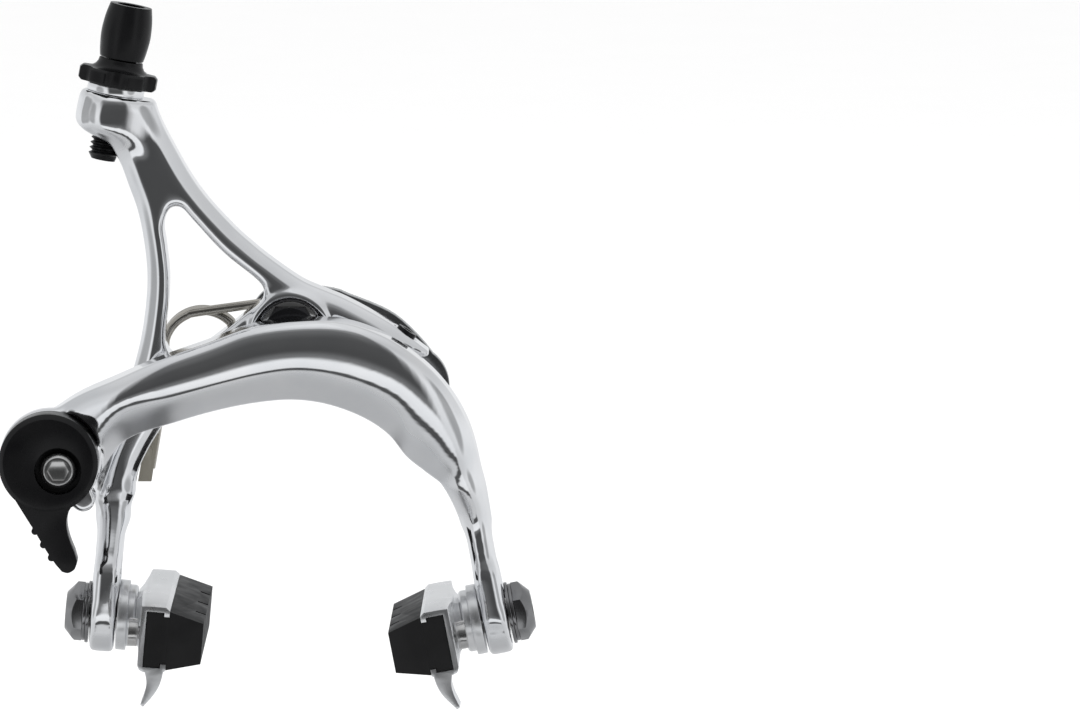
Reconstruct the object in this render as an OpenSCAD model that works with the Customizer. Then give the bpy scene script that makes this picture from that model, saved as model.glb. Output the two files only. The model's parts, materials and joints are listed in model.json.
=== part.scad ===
// Dual-pivot road caliper brake, arms at rest in the open position.
// The origin is on the centre bolt's axis, in the plane that meets the fork crown.
// +Z is up, -Y is the front, and the bolt runs back along +Y.

/* [Reach and pads] */
// Height from the centre bolt down to the shoe bolts
reach = 54.8; // [49:0.1:57]
// Distance from the centre bolt's axis to the left foot
left_foot_x = 36.2; // [35:0.1:38]
// Distance from the centre bolt's axis to the right foot
right_foot_x = 39.4; // [38:0.1:41]
// Tilt of the left shoe bolt at rest, degrees
left_tilt = 5; // [2:0.5:8]
// Tilt of the right shoe bolt at rest, degrees
right_tilt = 11; // [8:0.5:13]
// Pitch of the right shoe at rest, its rear end lower, degrees
right_pitch = 2; // [0:0.5:4]
// Height that a shoe can be raised in its slot
slot_travel = 8; // [6:0.5:12]
// Length of a brake pad
pad_l = 50; // [44:1:56]
// Height of a pad's braking face
pad_face_h = 7.8; // [6:0.2:8.4]
// Thickness of rubber standing out of the holder
pad_t = 6.6; // [4:0.2:8]

/* [Centre bolt and pivots] */
// Length of the centre bolt behind the fork plane
fork_bolt_l = 22; // [15:1:60]
// Radius of the centre bolt's thread
fork_bolt_r = 3; // [2.5:0.1:3.5]
// Radius of the centre bolt's pivot journal
journal_r = 4; // [3.8:0.1:4.6]
// Radius of the side pivot's journal
side_journal_r = 3.5; // [3:0.1:4]
// Wall of a pivot bush
bush_wall = 1; // [0.8:0.1:1.3]
// Thickness of the serrated washer against the fork
rear_washer_t = 2; // [1.5:0.1:3]
// Thickness of the rear bracket
bracket_t = 3.5; // [3:0.1:5]
// Gap between bracket and arms, where the spring's leg lies
spring_gap = 2.6; // [2.4:0.1:3.2]
// Depth of the rear arm's hub
hub_t = 9.5; // [8.5:0.1:11]

/* [Shoe bolts] */
// Radius of a shoe bolt
stud_r = 3; // [2.5:0.1:3.2]
// Thickness of a foot along its shoe bolt
foot_t = 5.4; // [4.6:0.1:6.4]
// Width across the flats of a shoe nut
nut_af = 10; // [9:0.5:11]

/* [Adjuster] */
// Diameter of the adjuster's scalloped wheel
wheel_d = 15.2; // [13.6:0.2:16.4]
// Largest diameter of the adjuster's knob
knob_d = 9.6; // [9:0.1:10.4]
// Radius of the cable housing's seat in the knob
housing_r = 2.6; // [2.5:0.05:3]
// Depth of the cable housing's seat
housing_depth = 8; // [6:0.5:9]
// Number of lobes on the wheel
wheel_lobes = 6; // [5:1:7]

/* [Quick release] */
// Radius of the quick-release lever's disc
disc_r = 9.5; // [9:0.1:9.8]
// Thickness of the lever's disc
disc_t = 6.6; // [5.4:0.1:7.4]
// Radius of the anchor bolt
anchor_r = 2.5; // [2:0.1:3]

/* [Spring] */
// Radius of the spring wire
wire_r = 0.9; // [0.7:0.05:0.95]
// Radius of the coil, at the middle of the wire
coil_r = 7.5; // [6.5:0.1:8]

/* [Hidden] */
$fn = 48;
silver = [0.82, 0.83, 0.84];
steel = [0.55, 0.55, 0.55];
dark = [0.2, 0.2, 0.21];
black = [0.06, 0.06, 0.07];
bronze = [0.48, 0.44, 0.36];
// Clearances: running fit, free fit, seat between pieces of one body
run = 0.05;
free = 0.3;
seat = 0.02;

// Layers from the fork plane to the front, as Y
bracket_back = -rear_washer_t;
bracket_front = bracket_back - bracket_t;
hub_back = bracket_front - spring_gap;
hub_front = hub_back - hub_t;
hub_recess = 2;
hub_recess_r = 6.4;
washer_t = 1;
nut_t = 3.6;
nut_front = hub_front + hub_recess - washer_t - nut_t;
bolt_front = nut_front - 0.3;
front_arm_back = bolt_front - 0.6;
front_arm_face = front_arm_back - 11;
foot_y = -16;
foot_depth = 6.6;

// Pivots and feet, as X and Z
side_pivot = [22.5, -12];
side_boss_r = 6;
left_foot = [-left_foot_x, -reach];
right_foot = [right_foot_x, -reach - 0.5];

// Curves through knots
function spline(a, b, c, d, u) =
    0.5 * (2 * b + (c - a) * u + (2 * a - 5 * b + 4 * c - d) * u * u + (3 * b - a - 3 * c + d) * u * u * u);
function along(k, t) =
    let(n = len(k), i = min(floor(t), n - 2))
    spline(k[max(i - 1, 0)], k[i], k[i + 1], k[min(i + 2, n - 1)], t - i);
function smooth(k, steps) =
    [for (i = [0 : (len(k) - 1) * steps]) along(k, i / steps)];
function around(k, steps) =
    let(n = len(k))
    [for (i = [0 : n - 1], j = [0 : steps - 1])
        spline(k[(i + n - 1) % n], k[i], k[(i + 1) % n], k[(i + 2) % n], j / steps)];
function unit(v) = v / norm(v);
function across(a, b) = let(t = unit(b - a)) [-t[1], t[0]];
// Radius of the largest circle inside an outline that touches it at p, where m points inwards
function room(k, p, m) = min([for (q = k) let(v = q - p, a = v * m) if (a > 0.001) v * v / (2 * a)]);
function inset(k, d) =
    let(n = len(k))
    [for (i = [0 : n - 1]) let(m = across(k[(i + n - 1) % n], k[(i + 1) % n]))
        k[i] + min(d, 0.75 * room(k, k[i], m)) * m];

// A lofted bar. A station is [edge A x, z, edge B x, z, front y, back y, bevel at A: width, depth,
// bevel at B: width, depth, roundness], and roundness turns the section into an ellipse.
bevel_steps = 3;
corner_steps = 2;
corner_r = 1.6;
face_crown = 0.5;
function bulged(u) = 0.45 * u + 0.55 * (1 - cos(90 * u));
function bar_section(w, front, back, wa, da, wb, db) = concat(
    [for (i = [0 : bevel_steps]) let(u = 1 - i / bevel_steps) [wa * (1 - u), front + da * bulged(u)]],
    [for (u = [0.25, 0.5, 0.75]) [wa + (w - wa - wb) * u, front - face_crown * 4 * u * (1 - u)]],
    [for (i = [0 : bevel_steps]) let(u = i / bevel_steps) [w - wb * (1 - u), front + db * bulged(u)]],
    [for (i = [0 : corner_steps]) let(a = 90 * i / corner_steps)
        [w - corner_r * (1 - cos(a)), back - corner_r * (1 - sin(a))]],
    [for (i = [0 : corner_steps]) let(a = 90 * i / corner_steps)
        [corner_r * (1 - sin(a)), back - corner_r * (1 - cos(a))]]);
function rounded(p, w, front, back, k) =
    let(c = [w / 2, (front + back) / 2], h = [w / 2, (back - front) / 2],
        q = [(p[0] - c[0]) / h[0], (p[1] - c[1]) / h[1]], e = unit(q))
    [for (i = [0, 1]) c[i] + h[i] * ((1 - k) * q[i] + k * e[i])];
function bar_ring(s) =
    let(a = [s[0], s[1]], b = [s[2], s[3]], w = norm(b - a), d = unit(b - a))
    [for (p = bar_section(w, s[4], s[5], s[6], s[7], s[8], s[9]))
        let(q = rounded(p, w, s[4], s[5], s[10])) [a[0] + d[0] * q[0], q[1], a[1] + d[1] * q[0]]];
module skin(rings) {
    n = len(rings[0]);
    m = len(rings);
    polyhedron(
        points = [for (r = rings) for (p = r) p],
        faces = concat(
            [[for (i = [0 : n - 1]) i]],
            [for (j = [0 : m - 2], i = [0 : n - 1])
                [j * n + i, (j + 1) * n + i, (j + 1) * n + (i + 1) % n]],
            [for (j = [0 : m - 2], i = [0 : n - 1])
                [j * n + i, (j + 1) * n + (i + 1) % n, j * n + (i + 1) % n]],
            [[for (i = [n - 1 : -1 : 0]) (m - 1) * n + i]]),
        convexity = 8);
}
module bar(stations, steps) {
    skin([for (s = smooth(stations, steps)) bar_ring(s)]);
}

// A plate between two depths, cut from a closed outline, with bevelled edges. Its skin runs on past
// both faces by a little, and the slab trims it there.
function level(outline, y) = [for (p = outline) [p[0], y, p[1]]];
trim = 0.3;
module bevelled_plate(outline, front, back, bevel_w, bevel_d, back_r) {
    intersection() {
        skin([
            level(inset(outline, back_r + trim), back + trim),
            level(inset(outline, back_r), back),
            level(inset(outline, back_r * 0.3), back - back_r * 0.3),
            level(outline, back - back_r),
            level(outline, front + bevel_d),
            level(inset(outline, bevel_w * 0.12), front + bevel_d * 0.72),
            level(inset(outline, bevel_w), front),
            level(inset(outline, bevel_w + trim), front - trim)]);
        slab(front, back) square(200, center = true);
    }
}

// Helpers for turned and flat pieces, placed by X and Z, between two depths
module rod(p, r, y0, y1) {
    translate([p[0], y0, p[1]]) rotate([-90, 0, 0]) cylinder(r = r, h = y1 - y0);
}
module taper(p, r0, r1, y0, y1) {
    translate([p[0], y0, p[1]]) rotate([-90, 0, 0]) cylinder(r1 = r0, r2 = r1, h = y1 - y0);
}
module slab(y0, y1) {
    translate([0, y1, 0]) rotate([90, 0, 0]) linear_extrude(y1 - y0) children();
}
module ring_at(p, r, bore, y0, y1) {
    difference() {
        rod(p, r, y0, y1);
        rod(p, bore, y0 - 1, y1 + 1);
    }
}
module hexagon(af) {
    circle(d = af / cos(30), $fn = 6);
}

// Root: bolt, bracket and spring

module bracket() {
    color(dark) difference() {
        union() {
            rod([0, 0], bracket_r, bracket_front, bracket_back);
            rod(side_pivot, bracket_r - 0.5, bracket_front, bracket_back);
            slab(bracket_front, bracket_back)
                polygon(concat(
                    smooth([[-1, bracket_r - 0.2], [8, 7], [11, 5.9], [17.3, 3.4], [21.3, 0.9], [26, -3.9],
                        [28.7, -8], [29.6, -12]], 3),
                    [[27, -17], [22.5, -19], [17.5, -16.6], [-2, -bracket_r + 1]]));
        }
        rod([0, 0], journal_r + seat, bracket_front - 1, bracket_back + 1);
        rod(side_pivot, side_journal_r + run, bracket_front - 1, bracket_back + 1);
        rod(spring_hole, wire_r + free, bracket_front - 1, bracket_back + 1);
    }
}
bracket_r = 8.5;
spring_hole = [-4.6, 4.6];

neck_r = fork_bolt_r + 0.3;
module centre_bolt() {
    color(steel) {
        rod([0, 0], neck_r, bracket_back, 0);
        rod([0, 0], fork_bolt_r, 0, fork_bolt_l - 0.6);
        taper([0, 0], fork_bolt_r, fork_bolt_r - 0.6, fork_bolt_l - 0.6, fork_bolt_l);
        rod([0, 0], journal_r, hub_front + hub_recess + 0.1, bracket_back);
        rod([0, 0], journal_r - 1, bolt_front, hub_front + hub_recess + 0.1);
    }
}

module rear_washer() {
    color(steel) difference() {
        rod([0, 0], bracket_r - 0.4, bracket_back, 0);
        rod([0, 0], neck_r + 0.1, bracket_back - 1, 1);
        for (i = [0 : serrations - 1])
            rotate([0, 360 / serrations * i, 0])
                translate([bracket_r - 2.6, -0.35, -0.3]) cube([3, 1, 0.6]);
    }
}
serrations = 24;

module hub_spacer() {
    color(steel) ring_at([0, 0], journal_r + 1.3, journal_r + run, hub_back + run, bracket_front);
}

module centre_washer() {
    color(steel)
        ring_at([0, 0], hub_recess_r - 0.5, journal_r - 1 + 0.1, nut_front + nut_t, hub_front + hub_recess);
}

module centre_nut() {
    color(dark) difference() {
        intersection() {
            slab(nut_front, nut_front + nut_t) hexagon(centre_nut_af);
            taper([0, 0], centre_nut_af / 2, centre_nut_af / 2 + nut_t, nut_front, nut_front + nut_t);
        }
        rod([0, 0], journal_r - 1 + seat, nut_front - 1, nut_front + nut_t + 1);
    }
}
centre_nut_af = 10;

// The spring's wire: a hook in the bracket, a leg, two turns, and a leg down to the sleeve
coil = [-17.3, -4.7];
wire_y = hub_back + wire_r + 0.4;
coil_pitch = 2 * wire_r + 0.15;
spring_turns = 2;
coil_start = 98;
coil_end = 180 + 360 * spring_turns;
turn_steps = 22;
coil_steps = ceil((coil_end - coil_start) / 360 * turn_steps);
leg_y = wire_y + coil_pitch * (coil_end - coil_start) / 360;
sleeve_at = [-28.4, -24];
sleeve_t = 1.2;
sleeve_y = hub_back + sleeve_t + wire_r + 0.2;
spring_path = concat(
    [[spring_hole[0], bracket_back - 0.6, spring_hole[1]],
        [spring_hole[0], bracket_front + 0.4, spring_hole[1]],
        [spring_hole[0] - 0.5, wire_y + 0.3, spring_hole[1]],
        [spring_hole[0] - 1.8, wire_y, spring_hole[1] - 0.2]],
    [for (i = [0 : coil_steps])
        let(u = i / coil_steps, a = coil_start + (coil_end - coil_start) * u)
        [coil[0] + coil_r * cos(a), wire_y + (leg_y - wire_y) * u, coil[1] + coil_r * sin(a)]],
    [[coil[0] - coil_r - 0.1, leg_y - 0.2, -9],
        [coil[0] - coil_r - 0.6, (leg_y + sleeve_y) / 2, -15],
        [sleeve_at[0] + 2.1, sleeve_y, -20.8],
        [sleeve_at[0] + 0.9, sleeve_y, -27.8]]);
wire_sides = 8;
function wire_ring(p, d) =
    let(u = unit(cross(d, [0.13, 1, 0.07])), v = cross(u, d))
    [for (i = [0 : wire_sides - 1]) let(a = 360 * i / wire_sides) p + wire_r * (cos(a) * v + sin(a) * u)];
module return_spring() {
    n = len(spring_path);
    color(bronze)
        skin([for (i = [0 : n - 1])
            wire_ring(spring_path[i], unit(spring_path[min(i + 1, n - 1)] - spring_path[max(i - 1, 0)]))]);
}

// Rear arm body

// The plate's outline as X and Z: adjuster lug, outer edge, extension over the side pivot, hub, leg
lug_outline = [[-36.8, 45.4], [-38.2, 43.8], [-38.6, 41.4], [-37.6, 39.2], [-35.6, 37]];
leg_outer = [[-32.9, 33.1], [-31, 28.1], [-29.3, 23.2], [-28.2, 17.6], [-27.6, 11.7], [-27.8, 6],
    [-28.8, -1], [-30.6, -8], [-33.2, -16], [-35.6, -22.6], [-36.9, -28]];
leg_step = [[-37.3, -32.3], [-33.8, -32.9], [-30.7, -32]];
leg_inner = [[-30.1, -29], [-28.9, -25.6], [-26.6, -21.2], [-23.6, -17], [-19, -13.2], [-12.6, -10.6]];
hub_outline = [[-5, -9.4], [0.5, -9.6], [5.4, -8], [9.4, -4.8], [14, -3.3]];
extension_end = [[19, -3.9], [23.4, -4.6], [26, -5], [26.8, -4.2]];
crown_edge = [[25.6, -3.2], [21.3, 0.1], [17.3, 2.7], [10.9, 6.1], [6.6, 7.9], [2.1, 9.9], [-3.8, 14],
    [-7.5, 17], [-11.2, 20.4], [-16, 25.7], [-19.4, 30.5], [-22.7, 36.4], [-25.6, 41.9], [-27.2, 44.3],
    [-29.2, 45.2]];
arm_outline = around(concat(lug_outline, leg_outer, leg_step, leg_inner, hub_outline, extension_end,
    crown_edge), 2);
window_outline = around([[-24.4, 20.6], [-24, 17], [-23.4, 11.5], [-23.5, 6], [-24.1, 0.4], [-23.9, -3.2],
    [-22.3, -4.9], [-19.4, -4.6], [-13.5, -0.4], [-8.7, 3.4], [-6, 5.5], [-5.1, 7.6], [-6.3, 10],
    [-12.9, 15.4], [-18.7, 21.7], [-21, 24.1], [-23.2, 23.8]], 2);
plate_bevel_w = 2.7;
plate_bevel_d = 1.5;

// The leg below the plate: stations of a bar, from the plate's back from the foot up to the plate
left_leg = [
    [left_foot[0] - 3.1, left_foot[1] - 0.4, left_foot[0] + 2.9, left_foot[1] - 1,
        foot_y - foot_depth - 0.6, foot_y + foot_depth - 0.2, 2, 2, 2, 2, 0.9],
    [left_foot[0] - 2.9, left_foot[1] + 4, left_foot[0] + 3.6, left_foot[1] + 3.4,
        foot_y - foot_depth - 0.6, foot_y + foot_depth - 0.1, 2, 2, 2, 2, 0.9],
    [left_foot[0] - 2.3, left_foot[1] + 11, left_foot[0] + 4.6, left_foot[1] + 10.6,
        foot_y - foot_depth, foot_y + foot_depth - 0.5, 2, 2, 2, 2, 0.9],
    [left_foot[0] - 1.7, left_foot[1] + 19, left_foot[0] + 5.2, left_foot[1] + 18.4,
        hub_front + 0.3, hub_back - 0.9, 2, 2, 2, 2, 0.8],
    [-37.3, -27, -30.9, -28.4, hub_front + 0.9, hub_back - 0.4, 2, 2, 2, 2, 0.5],
    [-33.6, -17, -27.4, -19, hub_front + 0.9, hub_back - 0.4, 2, 2, 2, 2, 0.3]];

// A foot: an upright block across the shoe bolt, with a slot for the bolt's height
module on_foot(foot, tilt, side) {
    translate([foot[0], foot_y, foot[1]]) scale([side, 1, 1]) rotate([0, tilt, 0]) children();
}
module left() { on_foot(left_foot, left_tilt, 1) children(); }
module right() { on_foot(right_foot, right_tilt, -1) children(); }
module right_shoe() { right() rotate([-right_pitch, 0, 0]) children(); }
module stud_rod(r, x0, x1, z = 0) {
    translate([x0, 0, z]) rotate([0, 90, 0]) cylinder(r = r, h = x1 - x0);
}
foot_end_r = 7;
module foot_block() {
    stud_rod(foot_end_r, -foot_t / 2, foot_t / 2, -0.4);
    translate([-foot_t / 2, -foot_depth, -1]) cube([foot_t, 2 * foot_depth, slot_travel + 3]);
}
slot_r = stud_r + 0.15;
module foot_slot() {
    stud_rod(slot_r, -9, 9);
    stud_rod(slot_r, -9, 9, slot_travel);
    translate([-9, -slot_r, 0]) cube([18, 2 * slot_r, slot_travel]);
    // Flats for the nut's washers and for the shoe's cup washer
    for (x = [-foot_t / 2 - 4, foot_t / 2])
        translate([x, -washer_seat_r, -washer_seat_r])
            cube([4, 2 * washer_seat_r, slot_travel + 2 * washer_seat_r]);
}
cup_r = 6.8;
washer_seat_r = cup_r + 0.4;

// The adjuster's axis leans to the right; its frame starts on the lug's top face
adjuster_y = (hub_front + hub_back) / 2;
adjuster_top = [-33.7, adjuster_y, 45.8];
adjuster_lean = 10.7;
lug_h = 6.8;
lug_r = 6.4;
module on_adjuster() {
    translate(adjuster_top) rotate([0, adjuster_lean, 0]) children();
}

centring_tip = [18.9, -5.5];
centring_lean = 34;
screw_l = 6.6;
screw_r = 2;
module on_centring() {
    translate([centring_tip[0], adjuster_y, centring_tip[1]]) rotate([0, centring_lean, 0]) children();
}

module y_arm() {
    color(silver) difference() {
        union() {
            bevelled_plate(arm_outline, hub_front, hub_back, plate_bevel_w, plate_bevel_d, 1);
            bar(left_leg, 3);
            left() foot_block();
            on_adjuster() translate([0, 0, -lug_h]) cylinder(r = lug_r, h = lug_h);
            rod([0, 0], hub_recess_r + 1.4, hub_front - 0.5, hub_back);
        }
        slab(hub_front - 3, hub_back + 3) polygon(window_outline);
        on_adjuster() cylinder(r = wheel_d / 2 + 1, h = 12);
        rod([0, 0], journal_r + bush_wall, hub_front - 3, hub_back + 3);
        rod([0, 0], hub_recess_r, hub_front - 3, hub_front + hub_recess);
        on_adjuster() translate([0, 0, -lug_h - 9]) cylinder(r = thread_r + 0.1, h = lug_h + 12);
        on_centring() translate([0, 0, -4]) cylinder(r = screw_r + seat, h = 20);
        left() foot_slot();
        sleeve_hole();
    }
}
module sleeve_hole() {
    rod(sleeve_at, sleeve_peg_r + seat, hub_back - 3, hub_back + 3);
}

module y_arm_bush() {
    color(bronze)
        ring_at([0, 0], journal_r + bush_wall - seat, journal_r + run,
            hub_front + hub_recess + run, hub_back);
}

module centring_screw() {
    color(dark) on_centring() difference() {
        union() {
            cylinder(r1 = screw_r - 0.6, r2 = screw_r, h = 0.6);
            translate([0, 0, 0.6]) cylinder(r = screw_r, h = screw_l - 0.6);
        }
        translate([0, 0, screw_l - 1.8]) linear_extrude(3) hexagon(2);
    }
}

sleeve_peg_r = 1.2;
// The sleeve covers the spring's end behind the leg, and its lip takes the spring's push
module spring_sleeve() {
    color(bronze) {
        rod(sleeve_at, sleeve_peg_r, hub_back - 2, hub_back + 1);
        slab(hub_back + seat, hub_back + sleeve_t)
            polygon([[-29.9, -30.2], [-27.3, -30.2], [-25.8, -21], [-28.2, -20.4]]);
        slab(hub_back + seat, sleeve_y + wire_r)
            polygon([[-29.9, -30.2], [-29.1, -30.2], [-27.4, -20.6], [-28.2, -20.4]]);
    }
}

// Adjuster
thread_r = 3;
thread_below = 6.2;
ring_h = 1.6;
wheel_h = 3;
flare_h = 2;
knob_h = 10.4;
knob_base = ring_h + wheel_h + flare_h + 0.3;
module detent_washer() {
    color(black) on_adjuster() difference() {
        translate([0, 0, seat]) cylinder(r = 5.5, h = ring_h - 2 * seat);
        translate([0, 0, -1]) cylinder(r = thread_r + 0.2, h = 3);
    }
}
wheel_groove_r = 2.6;
module adjuster_wheel() {
    color(black) on_adjuster() difference() {
        translate([0, 0, ring_h]) rotate_extrude()
            polygon(concat(
                [[thread_r + run, 0], [wheel_d / 2 - 0.5, 0], [wheel_d / 2, 0.5],
                    [wheel_d / 2, wheel_h - 0.5], [wheel_d / 2 - 0.5, wheel_h]],
                [for (i = [0 : 4]) let(a = 90 * i / 4)
                    [knob_d * 0.44 + (wheel_d * 0.4 - knob_d * 0.44) * (1 - sin(a)),
                        wheel_h + flare_h * (1 - cos(a))]],
                [[thread_r + run, wheel_h + flare_h]]));
        for (i = [0 : wheel_lobes - 1])
            rotate([0, 0, 360 / wheel_lobes * (i + 0.5)])
                translate([wheel_d / 2 + wheel_groove_r * 0.45, 0, ring_h - 1])
                    cylinder(r = wheel_groove_r, h = wheel_h + flare_h + 2);
    }
}
module adjuster_barrel() {
    color(black) on_adjuster() difference() {
        rotate_extrude() polygon(concat(
            [[0, -lug_h - thread_below], [thread_r - 0.7, -lug_h - thread_below],
                [thread_r, -lug_h - thread_below + 0.7], [thread_r, knob_base]],
            smooth([[knob_d * 0.44, knob_base], [knob_d * 0.475, knob_base + knob_h * 0.18],
                [knob_d / 2, knob_base + knob_h * 0.45], [knob_d * 0.475, knob_base + knob_h * 0.75],
                [knob_d * 0.42, knob_base + knob_h]], 3),
            [[0, knob_base + knob_h]]));
        translate([0, 0, knob_base + knob_h - housing_depth]) cylinder(r = housing_r, h = 20);
        translate([0, 0, -30]) cylinder(r = 1.2, h = 60);
    }
}

// Front arm body

// Stations from the quick release over the tyre to the right foot: edge A is the top, edge B the underside
right_leg_face = foot_y - foot_depth;
c_stations = [
    [-48.5, -16.4, -45, -31.4, -28.6, -18.8, 2, 2, 5, 4, 0.2],
    [-41, -11.3, -37.4, -27.4, -29.6, -18.8, 2, 1.6, 7, 5, 0],
    [-33.4, -7.8, -31.6, -20, -31.4, front_arm_back + 2, 1.6, 1.4, 6.2, 5.5, 0],
    [-24.8, -3.9, -21.4, -16.2, front_arm_face, front_arm_back, 1.3, 1.2, 5.4, 5.5, 0],
    [-15.6, -0.6, -12.9, -13.8, front_arm_face, front_arm_back, 1.3, 1.2, 5.4, 5.5, 0],
    [-7.2, 2.4, -5.3, -12.4, front_arm_face, front_arm_back, 1.3, 1.2, 6, 5.5, 0],
    [1.6, 3.6, 1.2, -12, front_arm_face, front_arm_back, 1.3, 1.2, 6.6, 5.5, 0],
    [10.2, 3.4, 7.4, -12.9, front_arm_face, front_arm_back, 1.3, 1.2, 7, 5.5, 0],
    [17.8, 0.9, 13.8, -15.3, front_arm_face + 0.4, front_arm_back, 1.3, 1.2, 7.4, 5.5, 0],
    [24.1, -3.1, 18.8, -18.7, front_arm_face + 1.2, front_arm_back, 1.4, 1.4, 7.8, 5.5, 0],
    [29.1, -8, 22.4, -23.2, front_arm_face + 2.2, front_arm_back + 2, 1.6, 1.8, 8, 5.5, 0.05],
    [32.9, -13.8, 26, -26.2, front_arm_face + 3.6, -15.5, 2, 2.2, 6.6, 5, 0.15],
    [35.4, -20, 29.6, -29.2, front_arm_face + 5.2, -12.6, 2.2, 2.6, 5, 4, 0.4],
    [37, -27.4, 31.7, -33.2, front_arm_face + 6.8, -11, 2, 2, 3, 3, 0.7],
    [right_foot[0] - 0.7, right_foot[1] + 18.9, right_foot[0] - 6.4, right_foot[1] + 17.7,
        right_leg_face + 0.2, foot_y + foot_depth - 0.9, 2, 2, 2, 2, 0.85],
    [right_foot[0] + 0.6, right_foot[1] + 11.4, right_foot[0] - 5.1, right_foot[1] + 10.4,
        right_leg_face - 0.5, foot_y + foot_depth - 0.5, 2, 2, 2, 2, 0.9],
    [right_foot[0] + 2, right_foot[1] + 4.4, right_foot[0] - 3.9, right_foot[1] + 3.4,
        right_leg_face - 0.6, foot_y + foot_depth - 0.1, 2, 2, 2, 2, 0.9],
    [right_foot[0] + 2.9, right_foot[1] + 0.2, right_foot[0] - 3, right_foot[1] - 0.8,
        right_leg_face - 0.6, foot_y + foot_depth - 0.2, 2, 2, 2, 2, 0.9]];

// Quick release: the lever's disc turns on this axis, and the anchor bolt sits off it
qr_axis = [-45.9, -23.2];
anchor_at = qr_axis + [1.9, -1.4];
qr_boss_r = 9.7;
qr_boss_front = -28.8;
qr_boss_back = -18.8;
lever_back = qr_boss_front - free;
lever_front = lever_back - disc_t;
cam_r = 6.6;
cam_back = qr_boss_back - 0.4;
module c_arm() {
    color(silver) difference() {
        union() {
            bar(c_stations, 3);
            right() foot_block();
            rod(qr_axis, qr_boss_r, qr_boss_front, qr_boss_front + 4);
            rod(qr_axis + [0.8, -0.4], qr_boss_r - 1.2, qr_boss_front + 1, qr_boss_back);
            rod(qr_axis + [6.3, -7.9], 2.3, qr_boss_front, qr_boss_back - 2);
            rod(side_pivot, side_boss_r, front_arm_back - 3, hub_back);
            follower_tab();
        }
        rod(side_pivot, side_journal_r + bush_wall, hub_back - bush_l, hub_back + 1);
        rod(side_pivot, side_thread_r + seat, front_arm_back - 2, hub_back + 1);
        rod(qr_axis, disc_r + 0.4, qr_boss_front - 9, qr_boss_front);
        rod(qr_axis, cam_r + run, qr_boss_front - 1, qr_boss_back + 3);
        right() foot_slot();
    }
}
bush_l = 8;
side_thread_r = 2.8;
// The centring screw bears on this ledge of the side pivot's boss
module follower_tab() {
    translate([side_pivot[0], adjuster_y, side_pivot[1]]) rotate([0, centring_lean, 0])
        translate([-8.4, -3, 0.4]) cube([5, 6, 2.6]);
}

module side_pivot_bolt() {
    color(steel) difference() {
        union() {
            rod(side_pivot, 5, bracket_back + seat, -0.1);
            rod(side_pivot, side_journal_r, hub_back - bush_l + 0.1, bracket_back + seat);
            rod(side_pivot, side_thread_r, front_arm_back - 1.5, hub_back - bush_l + 0.1);
        }
        translate([side_pivot[0], -1.5, side_pivot[1]]) rotate([-90, 0, 0]) linear_extrude(3) hexagon(4);
    }
}

module side_spacer() {
    color(steel)
        ring_at(side_pivot, side_boss_r, side_journal_r + run, hub_back + run, bracket_front - run);
}

module side_bush() {
    color(bronze)
        ring_at(side_pivot, side_journal_r + bush_wall - seat, side_journal_r + seat,
            hub_back - bush_l + 0.1, hub_back);
}

// Quick-release lever with its cam, and the anchor through it
handle_outline = concat(
    smooth([[-54.9, -25.4], [-52.6, -29.6], [-50.3, -33.4], [-48.5, -36.3], [-46.4, -39.9],
        [-44.6, -42.6]], 3),
    smooth([[-43.4, -44], [-42.2, -44.3], [-40.9, -43.5], [-40.5, -42]], 3),
    smooth([[-41, -40.2], [-42, -37.6], [-42.5, -34.8], [-42, -32.4], [-40.6, -30.4]], 3),
    [[-39.4, -27.6], [-46, -22]]);
module qr_lever() {
    color(black) difference() {
        union() {
            rod(qr_axis, disc_r, lever_front + 0.9, lever_back);
            taper(qr_axis, disc_r - 0.9, disc_r, lever_front, lever_front + 0.9);
            rod(qr_axis, cam_r, lever_back - 1, cam_back);
            slab(lever_front + 0.7, lever_back - 0.4) polygon(handle_outline);
            for (p = [[-48.5, -36.3], [-46.9, -38.9], [-45.4, -41.4]])
                rod(p, 0.7, lever_front + 1.2, lever_back - 1);
        }
        rod(anchor_at, anchor_r + run, lever_front - 1, qr_boss_back + 3);
        rod(anchor_at, 4.5, lever_front - 1, lever_front + 3);
    }
}

anchor_head_r = 3.4;
module anchor_bolt() {
    color(steel) difference() {
        union() {
            rod(anchor_at, anchor_head_r, lever_front + 0.8, lever_front + 3 - seat);
            taper(anchor_at, anchor_head_r - 0.8, anchor_head_r, lever_front + 0.1, lever_front + 0.8);
            rod(anchor_at, anchor_r, lever_front + 3 - seat, clamp_back + 3.8);
        }
        translate([anchor_at[0], lever_front + 2, anchor_at[1]]) rotate([90, 0, 0])
            linear_extrude(3) hexagon(3.6);
    }
}
clamp_front = qr_boss_back + seat;
clamp_back = clamp_front + 2.4;
cable_r = 0.8;
module anchor_clamp() {
    color(steel) difference() {
        rod(anchor_at, 5.6, clamp_front, clamp_back);
        rod(anchor_at, anchor_r + seat, clamp_front - 1, clamp_back + 1);
        translate([anchor_at[0] + anchor_r + cable_r, clamp_front, anchor_at[1] - 10])
            cylinder(r = cable_r, h = 20);
    }
}
module anchor_nut() {
    color(steel) difference() {
        translate([anchor_at[0], clamp_back + 3.2, anchor_at[1]]) rotate([90, 0, 0])
            linear_extrude(3.2 - seat) hexagon(8);
        rod(anchor_at, anchor_r + seat, clamp_back - 1, clamp_back + 5);
    }
}

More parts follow.
